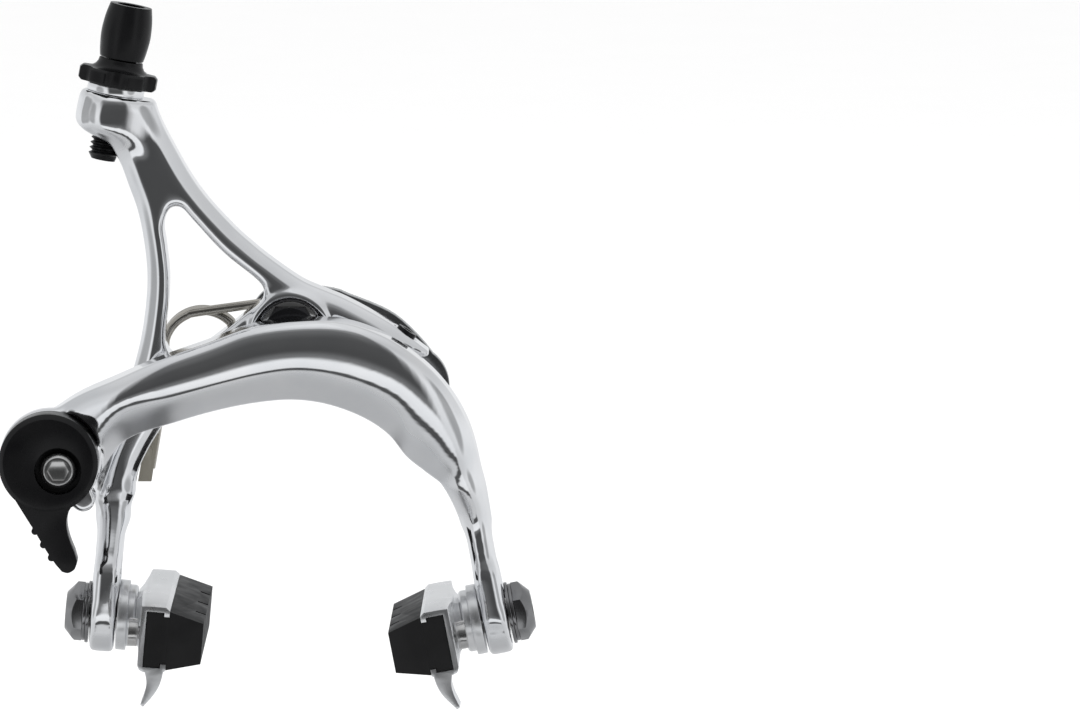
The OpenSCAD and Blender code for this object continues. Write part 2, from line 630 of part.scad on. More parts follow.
// Brake shoes, drawn in a foot's frame: X runs along the shoe bolt towards the rim
washers_t = 1.3;
nut_h = 3.4;
cup_t = 1.9;
ball_t = 1.7;
nut_back = -foot_t / 2 - washers_t;
shoe_back = foot_t / 2 + cup_t + ball_t;
module shoe_nut() {
    color(dark) difference() {
        intersection() {
            translate([nut_back - nut_h, 0, 0]) rotate([0, 90, 0])
                linear_extrude(nut_h - seat) hexagon(nut_af);
            translate([nut_back - nut_h, 0, 0]) rotate([0, 90, 0])
                cylinder(r1 = nut_af * 0.36, r2 = nut_af * 0.36 + nut_h * 1.1, h = nut_h);
        }
        stud_rod(stud_r + seat, nut_back - nut_h - 1, nut_back + 1);
    }
}
module shoe_washers() {
    color(steel) for (x = [nut_back, nut_back + washers_t / 2]) difference() {
        stud_rod(x == nut_back ? nut_af * 0.56 : nut_af * 0.6, x, x + washers_t / 2 - seat);
        stud_rod(stud_r + 0.1, x - 1, x + 2);
    }
}
// The pair of washers meet on a dished seat that lets the shoe toe in
dish_d = 0.9;
module turned(profile) {
    rotate([0, 90, 0]) rotate_extrude() polygon(profile);
}
module cup_washer() {
    x0 = foot_t / 2 + seat;
    x1 = foot_t / 2 + cup_t;
    color(silver) turned([[stud_r + 0.3, x0], [cup_r, x0], [cup_r, x1], [cup_r - 0.8, x1],
        [cup_r - 2, x1 - dish_d * 0.75], [stud_r + 0.3, x1 - dish_d]]);
}
module ball_washer() {
    x0 = foot_t / 2 + cup_t + seat;
    x1 = shoe_back - seat;
    color(silver) turned([[stud_r + 0.3, x0 - dish_d], [cup_r - 2, x0 - dish_d * 0.75],
        [cup_r - 0.8, x0], [cup_r - 0.8, x1 - 0.4], [cup_r - 1.2, x1], [stud_r + 0.3, x1]]);
}
module shoe_stud() {
    color(steel) difference() {
        stud_rod(stud_r, nut_back - nut_h + 0.7, shoe_back + 1.2);
        translate([nut_back - nut_h, 0, 0]) rotate([0, 90, 0]) linear_extrude(2.6) hexagon(3);
    }
}

channel_x = shoe_back + 2.6;
channel_d = 4.4;
lip = 1;
holder_h = 12.8;
// The shoe sits a little lower than its bolt
shoe_drop = 0.6;
pad_base_h = holder_h - 2 * lip - 0.2;
face_x = channel_x + channel_d;
module lengthwise(y0, y1) {
    translate([0, y1, 0]) rotate([90, 0, 0]) linear_extrude(y1 - y0) children();
}
module dropped() {
    translate([0, 0, -shoe_drop]) children();
}
// The holder's section, and its plan with a wide middle round the shoe bolt
function holder_section(h) = concat(
    smooth([[shoe_back + 1.4, -h + 2.6], [channel_x - 0.6, -h + 0.4], [channel_x + 1.4, -h]], 3),
    [[face_x - 0.8, -h], [face_x, -h + 0.6], [face_x, h - 0.6], [face_x - 0.8, h]],
    smooth([[channel_x + 1.4, h], [channel_x - 1.2, h - 0.15], [shoe_back + 0.8, h - 0.7]], 3),
    [[shoe_back, h - 1.5], [shoe_back, -h + 3.4]]);
function holder_plan() = concat(
    smooth([[channel_x - 1, -pad_l / 2], [channel_x - 1.5, -pad_l / 4], [shoe_back, -7]], 3),
    smooth([[shoe_back, 7], [channel_x - 1.5, pad_l / 4], [channel_x - 1, pad_l / 2]], 3),
    [[face_x, pad_l / 2], [face_x, -pad_l / 2]]);
module shoe_holder() {
    h = holder_h / 2;
    color(silver) difference() {
        dropped() union() {
            intersection() {
                lengthwise(-pad_l / 2, pad_l / 2) polygon(holder_section(h));
                translate([0, 0, -h]) linear_extrude(2 * h) polygon(holder_plan());
            }
            fin();
        }
        dropped() {
            translate([channel_x, -pad_l / 2 - 1, -pad_base_h / 2 - 0.1])
                cube([channel_d - 1, pad_l - 1, pad_base_h + 0.2]);
            translate([channel_x + 1, -pad_l / 2 - 1, -neck_h / 2 - 0.1]) cube([9, pad_l - 1, neck_h + 0.2]);
            translate([0, screw_y, 0]) stud_rod(1.25 + seat, 0, 20);
        }
        stud_rod(stud_r + seat, 0, shoe_back + 1.2 + seat);
    }
}
neck_h = pad_base_h - 1.6;
screw_y = -pad_l / 2 + 8;
fin_l = 9;
// The wheel guide is a thin curled fin below the front end of the holder
module fin() {
    h = holder_h / 2;
    lengthwise(-pad_l / 2, -pad_l / 2 + fin_l)
        polygon(concat(
            smooth([[face_x - 0.3, -h + 1], [face_x - 0.7, -h - 1.7], [face_x - 1.7, -h - 4],
                [face_x - 3.6, -h - 6.6]], 4),
            smooth([[face_x - 4.2, -h - 6.3], [face_x - 3.5, -h - 3.7], [face_x - 3.4, -h - 1.5],
                [face_x - 4.2, -h + 1]], 4)));
}
module pad() {
    f = pad_face_h / 2;
    b = holder_h / 2 - 0.75;
    color(black) dropped() difference() {
        union() {
            translate([channel_x + 0.1, -pad_l / 2 + 0.2, -pad_base_h / 2])
                cube([channel_d - 1.3, pad_l - 2.4, pad_base_h]);
            translate([channel_x + 1, -pad_l / 2 + 0.2, -neck_h / 2])
                cube([channel_d, pad_l - 2.4, neck_h]);
            lengthwise(-pad_l / 2, pad_l / 2)
                polygon([[face_x + 0.05, -b], [face_x + pad_t, -f], [face_x + pad_t, f],
                    [face_x + 0.05, b]]);
        }
        for (y = [-pad_l / 2 + 12, 0, pad_l / 2 - 12])
            translate([face_x + pad_t - 2, y - 0.6, -10]) cube([4, 1.2, 20]);
        translate([0, screw_y, 0]) stud_rod(1.4, 0, channel_x + 2.6);
    }
}
module pad_screw() {
    color(steel) translate([0, screw_y, -shoe_drop]) difference() {
        union() {
            stud_rod(2.7, channel_x - 3.4, channel_x - 1.6);
            stud_rod(1.25, channel_x - 1.7, channel_x + 2.4);
        }
        translate([channel_x - 4, 0, 0]) rotate([0, 90, 0]) linear_extrude(1.6) hexagon(2);
    }
}

bracket();
centre_bolt();
rear_washer();
centre_washer();
centre_nut();
hub_spacer();
return_spring();
y_arm();
y_arm_bush();
centring_screw();
spring_sleeve();
detent_washer();
adjuster_wheel();
adjuster_barrel();
c_arm();
side_pivot_bolt();
side_spacer();
side_bush();
qr_lever();
anchor_bolt();
anchor_clamp();
anchor_nut();
left() shoe_nut();  // left_nut
left() shoe_washers();  // left_washers
left() cup_washer();  // left_cup_washer
left() ball_washer();  // left_ball_washer
left() shoe_stud();  // left_stud
left() shoe_holder();  // left_holder
left() pad();  // left_pad
left() pad_screw();  // left_pad_screw
right() shoe_nut();  // right_nut
right() shoe_washers();  // right_washers
right() cup_washer();  // right_cup_washer
right() ball_washer();  // right_ball_washer
right() shoe_stud();  // right_stud
right_shoe() shoe_holder();  // right_holder
right_shoe() pad();  // right_pad
right_shoe() pad_screw();  // right_pad_screw
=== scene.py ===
"""Looks of the caliper brake: surfaces, materials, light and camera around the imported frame."""

import json
import math

import bmesh
import bpy
import numpy as np
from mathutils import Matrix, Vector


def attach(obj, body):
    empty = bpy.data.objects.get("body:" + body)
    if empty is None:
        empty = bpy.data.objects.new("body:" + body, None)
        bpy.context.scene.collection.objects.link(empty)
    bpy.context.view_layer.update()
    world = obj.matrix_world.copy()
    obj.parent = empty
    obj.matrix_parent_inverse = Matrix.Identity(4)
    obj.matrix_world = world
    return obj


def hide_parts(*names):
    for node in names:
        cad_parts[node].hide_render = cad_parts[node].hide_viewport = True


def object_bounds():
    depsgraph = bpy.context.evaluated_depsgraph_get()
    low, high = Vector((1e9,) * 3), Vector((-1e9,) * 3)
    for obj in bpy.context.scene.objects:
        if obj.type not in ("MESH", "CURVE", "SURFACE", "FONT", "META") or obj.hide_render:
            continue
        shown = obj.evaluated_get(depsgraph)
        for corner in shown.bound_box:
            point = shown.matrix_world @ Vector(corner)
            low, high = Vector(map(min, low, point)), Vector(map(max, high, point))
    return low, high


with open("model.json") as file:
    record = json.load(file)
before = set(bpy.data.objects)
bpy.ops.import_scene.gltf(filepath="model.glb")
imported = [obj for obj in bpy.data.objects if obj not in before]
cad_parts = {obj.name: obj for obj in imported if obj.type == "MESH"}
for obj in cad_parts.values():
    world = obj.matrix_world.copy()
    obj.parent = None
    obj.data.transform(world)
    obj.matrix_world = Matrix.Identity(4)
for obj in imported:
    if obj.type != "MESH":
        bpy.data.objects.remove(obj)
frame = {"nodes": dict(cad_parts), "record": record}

import openvdb
from mathutils import Vector

MM = 0.001
cad_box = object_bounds()
nodes = frame["nodes"]
scene = bpy.context.scene

# Camera: a long lens above the horizon, straight in front, as in the photograph
IMAGE_W, IMAGE_H = 1080, 717
BOLT_PIXEL = (290, 334)
PIXELS_PER_MM = 5.2
ELEVATION = math.radians(6.9)
CAMERA_DISTANCE = 1.8
SENSOR = 36
BOLT_FRONT = Vector((0, -20 * MM, 0))


def make_camera():
    right = Vector((1, 0, 0))
    forward = Vector((0, math.cos(ELEVATION), -math.sin(ELEVATION)))
    up = Vector((0, math.sin(ELEVATION), math.cos(ELEVATION)))
    aside = (IMAGE_W / 2 - BOLT_PIXEL[0]) / PIXELS_PER_MM * MM
    above = (BOLT_PIXEL[1] - IMAGE_H / 2) / PIXELS_PER_MM * MM
    target = BOLT_FRONT + aside * right + above * up
    data = bpy.data.cameras.new("camera")
    data.sensor_width = SENSOR
    data.lens = SENSOR * CAMERA_DISTANCE / (IMAGE_W / PIXELS_PER_MM * MM)
    data.clip_start, data.clip_end = 0.05, 50
    camera = bpy.data.objects.new("camera", data)
    camera.location = target - CAMERA_DISTANCE * forward
    camera.rotation_euler = (math.pi / 2 - ELEVATION, 0, 0)
    scene.collection.objects.link(camera)
    scene.camera = camera


# Materials

def shader(name, colour, metallic, roughness):
    material = bpy.data.materials.new(name)
    material.use_nodes = True
    tree = material.node_tree
    principled = tree.nodes["Principled BSDF"]
    principled.inputs["Base Color"].default_value = (*colour, 1)
    principled.inputs["Metallic"].default_value = metallic
    principled.inputs["Roughness"].default_value = roughness
    return material, tree, principled


def noise(tree, scale, detail=3):
    place = tree.nodes.new("ShaderNodeTexCoord")
    texture = tree.nodes.new("ShaderNodeTexNoise")
    texture.inputs["Scale"].default_value = scale
    texture.inputs["Detail"].default_value = detail
    tree.links.new(place.outputs["Object"], texture.inputs["Vector"])
    return texture.outputs["Fac"]


def between(tree, value, low, high):
    ramp = tree.nodes.new("ShaderNodeMapRange")
    ramp.inputs["From Min"].default_value = 0.3
    ramp.inputs["From Max"].default_value = 0.7
    ramp.inputs["To Min"].default_value = low
    ramp.inputs["To Max"].default_value = high
    tree.links.new(value, ramp.inputs["Value"])
    return ramp.outputs["Result"]


def tinted(tree, value, dark, light):
    mix = tree.nodes.new("ShaderNodeMix")
    mix.data_type = "RGBA"
    mix.inputs["A"].default_value = (*dark, 1)
    mix.inputs["B"].default_value = (*light, 1)
    tree.links.new(between(tree, value, 0, 1), mix.inputs["Factor"])
    return mix.outputs["Result"]


def bumped(tree, principled, height, distance, strength):
    bump = tree.nodes.new("ShaderNodeBump")
    bump.inputs["Distance"].default_value = distance
    bump.inputs["Strength"].default_value = strength
    tree.links.new(height, bump.inputs["Height"])
    tree.links.new(bump.outputs["Normal"], principled.inputs["Normal"])


CLOUD_SCALE, SMUDGE_SCALE = 90, 260
# Slot: darker colour, lighter colour, metallic, roughness from and to, grain scale, depth in mm, strength
SURFACES = {
    "polished_alloy": ((0.84, 0.85, 0.87), (0.93, 0.93, 0.94), 1, (0.05, 0.1), 1500, 0.02, 0.06),
    "satin_alloy": ((0.84, 0.85, 0.86), (0.93, 0.93, 0.94), 1, (0.26, 0.34), 3000, 0.03, 0.3),
    "grey_alloy": ((0.26, 0.265, 0.27), (0.36, 0.365, 0.37), 1, (0.16, 0.24), 2500, 0.03, 0.2),
    "bright_steel": ((0.5, 0.5, 0.5), (0.66, 0.65, 0.64), 1, (0.12, 0.2), 2500, 0.02, 0.2),
    "dark_steel": ((0.2, 0.2, 0.205), (0.3, 0.3, 0.305), 1, (0.12, 0.2), 2500, 0.02, 0.2),
    "black_steel": ((0.008, 0.008, 0.009), (0.02, 0.02, 0.022), 0.6, (0.22, 0.34), 2500, 0.02, 0.2),
    "spring_steel": ((0.42, 0.4, 0.36), (0.56, 0.53, 0.48), 1, (0.1, 0.18), 2000, 0.02, 0.2),
    "bronze": ((0.4, 0.28, 0.14), (0.55, 0.4, 0.22), 1, (0.35, 0.5), 2500, 0.03, 0.4),
    "tan_nylon": ((0.24, 0.225, 0.185), (0.31, 0.29, 0.24), 0, (0.4, 0.55), 1800, 0.04, 0.3),
    "black_plastic": ((0.003, 0.003, 0.0035), (0.006, 0.006, 0.0065), 0, (0.22, 0.34), 2200, 0.04, 0.2),
    "pad_rubber": ((0.004, 0.004, 0.0045), (0.009, 0.009, 0.0095), 0, (0.42, 0.6), 1600, 0.06, 0.4)}
DARK_SLOTS, DARK_SPECULAR = ("black_plastic", "pad_rubber", "black_steel"), 0.22
# The normal's height at which the satin underside starts and is full, and its roughness
UNDERSIDE_START, UNDERSIDE_FULL, UNDERSIDE_ROUGH = -0.3, -0.5, 0.3


def surface(name, dark, light, metallic, rough, grain, grain_depth, grain_strength):
    """Colour and roughness wander over millimetres, and a fine grain breaks up the reflections."""
    material, tree, principled = shader(name, light, metallic, rough[0])
    cloud = noise(tree, CLOUD_SCALE)
    tree.links.new(tinted(tree, cloud, dark, light), principled.inputs["Base Color"])
    smudges = noise(tree, SMUDGE_SCALE, 5)
    tree.links.new(between(tree, smudges, *rough), principled.inputs["Roughness"])
    bumped(tree, principled, noise(tree, grain, 4), grain_depth * MM, grain_strength)
    return material


def satin_below(material):
    """Only faces seen from the front and above are polished; those turned down keep a tumbled finish."""
    tree = material.node_tree
    principled = tree.nodes["Principled BSDF"]
    place = tree.nodes.new("ShaderNodeTexCoord")
    height = tree.nodes.new("ShaderNodeSeparateXYZ")
    tree.links.new(place.outputs["Normal"], height.inputs["Vector"])
    down = tree.nodes.new("ShaderNodeMapRange")
    down.interpolation_type = "SMOOTHSTEP"
    down.inputs["From Min"].default_value = UNDERSIDE_START
    down.inputs["From Max"].default_value = UNDERSIDE_FULL
    tree.links.new(height.outputs["Z"], down.inputs["Value"])
    mix = tree.nodes.new("ShaderNodeMix")
    mix.inputs["B"].default_value = UNDERSIDE_ROUGH
    tree.links.new(down.outputs["Result"], mix.inputs["Factor"])
    tree.links.new(principled.inputs["Roughness"].links[0].from_socket, mix.inputs["A"])
    tree.links.new(mix.outputs["Result"], principled.inputs["Roughness"])


def make_materials():
    made = {name: surface(name, *look) for name, look in SURFACES.items()}
    for name in DARK_SLOTS:
        principled = made[name].node_tree.nodes["Principled BSDF"]
        principled.inputs["Specular IOR Level"].default_value = DARK_SPECULAR
    satin_below(made["polished_alloy"])
    return made


# Edges of the carried-over solids

def smooth_by_angle(limit):
    """A modifier that shades smooth across edges flatter than the limit."""
    group = bpy.data.node_groups.new("smooth_by_angle", "GeometryNodeTree")
    group.interface.new_socket("Geometry", in_out="INPUT", socket_type="NodeSocketGeometry")
    group.interface.new_socket("Geometry", in_out="OUTPUT", socket_type="NodeSocketGeometry")
    start = group.nodes.new("NodeGroupInput")
    end = group.nodes.new("NodeGroupOutput")
    faces = group.nodes.new("GeometryNodeSetShadeSmooth")
    edges = group.nodes.new("GeometryNodeSetShadeSmooth")
    edges.domain = "EDGE"
    angle = group.nodes.new("GeometryNodeInputMeshEdgeAngle")
    flat = group.nodes.new("FunctionNodeCompare")
    flat.operation = "LESS_THAN"
    flat.inputs["B"].default_value = limit
    group.links.new(angle.outputs["Unsigned Angle"], flat.inputs["A"])
    group.links.new(flat.outputs["Result"], edges.inputs["Shade Smooth"])
    group.links.new(start.outputs[0], faces.inputs["Geometry"])
    group.links.new(faces.outputs["Geometry"], edges.inputs["Geometry"])
    group.links.new(edges.outputs["Geometry"], end.inputs[0])
    return group


# Width of the broken edges in millimetres
FINE_EDGE = 0.12
EDGE_BREAK = {"left_pad": 0.25, "right_pad": 0.25, "qr_lever": 0.35, "left_holder": 0.3,
              "right_holder": 0.3, "adjuster_wheel": 0.3}
WELD_DISTANCE = 0.001
SHARP_ANGLE = math.radians(35)
SMOOTH_ANGLE = math.radians(32)


def finish_solid(name, node, group):
    weld = node.modifiers.new("weld", "WELD")
    weld.merge_threshold = WELD_DISTANCE * MM
    bevel = node.modifiers.new("edge_break", "BEVEL")
    bevel.width = EDGE_BREAK.get(name, FINE_EDGE) * MM
    bevel.segments = 2
    bevel.limit_method = "ANGLE"
    bevel.angle_limit = SHARP_ANGLE
    smooth = node.modifiers.new("smooth", "NODES")
    smooth.node_group = group


def dress_frame(materials):
    slots = {part["node"]: part["material_slot"] for part in frame["record"]["subparts"]}
    group = smooth_by_angle(SMOOTH_ANGLE)
    for name, node in nodes.items():
        node.data.materials.clear()
        node.data.materials.append(materials[slots[name]])
        finish_solid(name, node, group)
    nodes["detent_washer"].data.materials[0] = materials["polished_alloy"]


# Arms: finer skins over the solids' outlines, with rounder legs, in millimetres. A field that is
# negative inside the metal is filled on a grid, and its zero surface becomes the mesh.

VOXEL = 0.32
EMPTY = 50.0
FINE_STEPS = 20
RELAX_FACTOR, RELAX_STEPS = 0.5, 8
EDGE, SOFT_FILLET = 0.4, 1.5
# Front arm's face: height of its crown, how soon the crown fades towards the legs, thinnest side
FACE_CROWN, CROWN_FADE, SIDE_THINNEST = 0.5, 1.2, 0.03
LEG_SQUARENESS, LEG_THINNING = 2.4, 0.5
LEFT_LEG_TOP, LEFT_LEG_FADE, LEFT_LEG_FILLET = -33, 12, 2.5
RIGHT_LEG_TOP, RIGHT_LEG_FADE = -30, 9
HUB_BACK, HUB_FRONT = -8.1, -17.6
HUB_R, HUB_RECESS_R, HUB_RECESS, HUB_BORE = 7.8, 6.4, 2, 5
ARM_BACK = -21.1
FOOT_Y = -16
LEFT_FOOT, LEFT_TILT = (-36.2, FOOT_Y, -54.8), 5
RIGHT_FOOT, RIGHT_TILT = (39.4, FOOT_Y, -55.3), 11
FOOT_HALF, FOOT_DEPTH, FOOT_END_R, FOOT_END_DROP = 2.7, 6.6, 7, 0.4
FOOT_EDGE, CHEEK_EDGE, CHEEK_FILLET = 1.2, 3, 2.5
SLOT_R, SLOT_TRAVEL = 3.15, 8
WASHER_SEAT, SEAT_RUN_OUT, SEAT_REACH = 6.6, 4, 9
ADJUSTER_Y = (HUB_BACK + HUB_FRONT) / 2
ADJUSTER_TOP, ADJUSTER_LEAN = (-33.7, ADJUSTER_Y, 45.8), 10.7
LUG_R, LUG_H, LUG_CLEARANCE, LUG_BORE = 6.4, 6.8, 8.6, 3.1
LUG_EDGE, LUG_FILLET = 2, 5
PLATE_BEVEL_W, PLATE_BEVEL_D, PLATE_CROWN = 2.7, 1.5, 0.25
WINDOW_BEVEL_W, WINDOW_BEVEL_D = 0.9, 0.4
CENTRING_TIP, CENTRING_LEAN, CENTRING_BORE = (18.9, ADJUSTER_Y, -5.5), 34, 2.02
CENTRING_PAD = (-8.4, -3.4), (-3, 3), (0.4, 3)
SIDE_PIVOT, SIDE_BOSS_R, SIDE_BORE, SIDE_THREAD = (22.5, -12), 6, 4.5, 2.82
QR_AXIS, QR_FRONT, QR_BACK = np.array((-45.9, -23.2)), -28.8, -18.8
QR_RIM_R, QR_BOSS_R, QR_CLEARANCE, QR_BORE = 9.7, 8.5, 9.9, 6.65
QR_BOSS_SHIFT, QR_STOP_SHIFT, QR_STOP_R = (0.8, -0.4), (6.3, -7.9), 2.3
PLATE_OUTLINE = [
    (-36.8, 45.4), (-38.2, 43.8), (-38.6, 41.4), (-37.6, 39.2), (-35.6, 37), (-32.9, 33.1), (-31, 28.1),
    (-29.3, 23.2), (-28.2, 17.6), (-27.6, 11.7), (-27.8, 6), (-28.8, -1), (-30.6, -8), (-33.2, -16),
    (-35.6, -22.6), (-36.9, -28), (-37.3, -32.3), (-33.8, -32.9), (-30.7, -32), (-30.1, -29),
    (-28.9, -25.6), (-26.6, -21.2), (-23.6, -17), (-19, -13.2), (-12.6, -10.6), (-5, -9.4), (0.5, -9.6),
    (5.4, -8), (9.4, -4.8), (14, -3.3), (19, -3.9), (23.4, -4.6), (26, -5), (26.8, -4.2), (25.6, -3.2),
    (21.3, 0.1), (17.3, 2.7), (10.9, 6.1), (6.6, 7.9), (2.1, 9.9), (-3.8, 14), (-7.5, 17), (-11.2, 20.4),
    (-16, 25.7), (-19.4, 30.5), (-22.7, 36.4), (-25.6, 41.9), (-27.2, 44.3), (-29.2, 45.2)]
WINDOW_OUTLINE = [
    (-24.4, 20.6), (-24, 17), (-23.4, 11.5), (-23.5, 6), (-24.1, 0.4), (-23.9, -3.2), (-22.3, -4.9),
    (-19.4, -4.6), (-13.5, -0.4), (-8.7, 3.4), (-6, 5.5), (-5.1, 7.6), (-6.3, 10), (-12.9, 15.4),
    (-18.7, 21.7), (-21, 24.1), (-23.2, 23.8)]
# Stations of a leg: x and z of one edge, x and z of the other edge, front, back
LEFT_LEG = [
    (-39.3, -55.2, -33.3, -55.8, -22.3, -9.7),
    (-39.1, -50.8, -32.6, -51.4, -23.2, -9.5),
    (-38.5, -43.8, -31.6, -44.2, -22.4, -9.8),
    (-37.9, -35.8, -31, -36.4, -18.6, -9),
    (-37.3, -27, -30.9, -28.4, -16.9, -8.5),
    (-33.6, -17, -27.4, -19, -16.7, -8.5)]
RIGHT_LEG = [
    (35.4, -20, 29.6, -29.2, -26.7, -12.3),
    (37, -27.4, 31.7, -33.2, -25.3, -11),
    (38.7, -36.4, 33, -37.6, -22.6, -10.3),
    (40, -43.9, 34.3, -44.9, -23.1, -9.9),
    (41.4, -50.9, 35.5, -51.9, -23.2, -9.5),
    (42.3, -55.1, 36.4, -56.1, -23.2, -9.6)]
# Stations of the front arm: as a leg's, then width and depth of the bevel at either edge, and roundness
FRONT_ARM = [
    (-48.5, -16.4, -45, -31.4, -28.6, -18.8, 2, 2, 5, 4, 0.2),
    (-41, -11.3, -37.4, -27.4, -29.6, -18.8, 2, 1.6, 7, 5, 0),
    (-33.4, -7.8, -31.6, -20, -31.4, -19.1, 1.6, 1.4, 6.2, 5.5, 0),
    (-24.8, -3.9, -21.4, -16.2, -32.1, -21.1, 1.3, 1.2, 5.4, 5.5, 0),
    (-15.6, -0.6, -12.9, -13.8, -32.1, -21.1, 1.3, 1.2, 5.4, 5.5, 0),
    (-7.2, 2.4, -5.3, -12.4, -32.1, -21.1, 1.3, 1.2, 6, 5.5, 0),
    (1.6, 3.6, 1.2, -12, -32.1, -21.1, 1.3, 1.2, 6.6, 5.5, 0),
    (10.2, 3.4, 7.4, -12.9, -32.1, -21.1, 1.3, 1.2, 7, 5.5, 0),
    (17.8, 0.9, 13.8, -15.3, -31.7, -21.1, 1.3, 1.2, 7.4, 5.5, 0),
    (24.1, -3.1, 18.8, -18.7, -30.9, -21.1, 1.4, 1.4, 7.8, 5.5, 0),
    (29.1, -8, 22.4, -23.2, -29.9, -19.1, 1.6, 1.8, 8, 5.5, 0.05),
    (32.9, -13.8, 26, -26.2, -28.5, -15.5, 2, 2.2, 6.6, 5, 0.15),
    (35.4, -20, 29.6, -29.2, -26.9, -12.6, 2.2, 2.6, 5, 4, 0.4),
    (37, -27.4, 31.7, -33.2, -23.5, -12.5, 2, 2, 3, 3, 0.7),
    (38.2, -36.4, 33.6, -37.6, -18.5, -15.5, 2, 2, 2, 2, 0.85)]


def through(knots, t, closed=False):
    """Points at places t along a smooth curve that passes through the knots at 0, 1, 2 and so on."""
    k = np.array(knots, float)
    n = len(k)
    i = np.floor(t).astype(int) if closed else np.clip(np.floor(t).astype(int), 0, n - 2)
    u = (t - i)[..., None]
    a, b, c, d = (k[(i + j) % n if closed else np.clip(i + j, 0, n - 1)] for j in (-1, 0, 1, 2))
    return 0.5 * (2 * b + (c - a) * u + (2 * a - 5 * b + 4 * c - d) * u ** 2
                  + (3 * b - a - 3 * c + d) * u ** 3)


def open_curve(knots, steps=FINE_STEPS):
    return through(knots, np.arange((len(knots) - 1) * steps + 1) / steps)


def closed_curve(knots, steps=FINE_STEPS // 2):
    return through(knots, np.arange(len(knots) * steps) / steps, True)


def outline_distance(outline, x, z):
    """Signed distance in the X-Z plane to a closed outline, negative inside it."""
    best = np.full(x.shape, 1e9)
    inside = np.zeros(x.shape, bool)
    for (ax, az), (bx, bz) in zip(outline, np.roll(outline, -1, 0)):
        ex, ez = bx - ax, bz - az
        px, pz = x - ax, z - az
        u = np.clip((px * ex + pz * ez) / (ex * ex + ez * ez + 1e-12), 0, 1)
        best = np.minimum(best, (px - u * ex) ** 2 + (pz - u * ez) ** 2)
        if az != bz:
            inside ^= ((az > z) != (bz > z)) & (px < ex * pz / ez)
    return np.where(inside, -1, 1) * np.sqrt(best)


def bulged(u):
    """A bevel's drop, from 0 where it starts to 1 at the edge, steeper towards the edge."""
    u = np.clip(u, 0, 1)
    return 0.45 * u + 0.55 * (1 - np.cos(np.pi / 2 * u))


def joined(a, b, r):
    """Union of two fields with a fillet of about r."""
    h = np.clip(r - np.abs(a - b), 0, None)
    return np.minimum(a, b) - h * h / (4 * r)


def common(a, b, r):
    """Intersection of two fields with an edge rounded by about r."""
    return -joined(-a, -b, r)


def cylinder(a, b, c, low, high, r, edge=EDGE):
    """A cylinder of radius r about the coordinate c, from low to high."""
    return common(np.sqrt(a * a + b * b) - r, np.maximum(low - c, c - high), edge)


def block(a, b, c, a_range, b_range, c_range, edge=EDGE):
    sides = [np.maximum(r[0] - v, v - r[1]) for v, r in zip((a, b, c), (a_range, b_range, c_range))]
    return common(common(sides[0], sides[1], edge), sides[2], edge)


def softened(value, axis):
    return (np.roll(value, 1, axis) + 2 * value + np.roll(value, -1, axis)) / 4


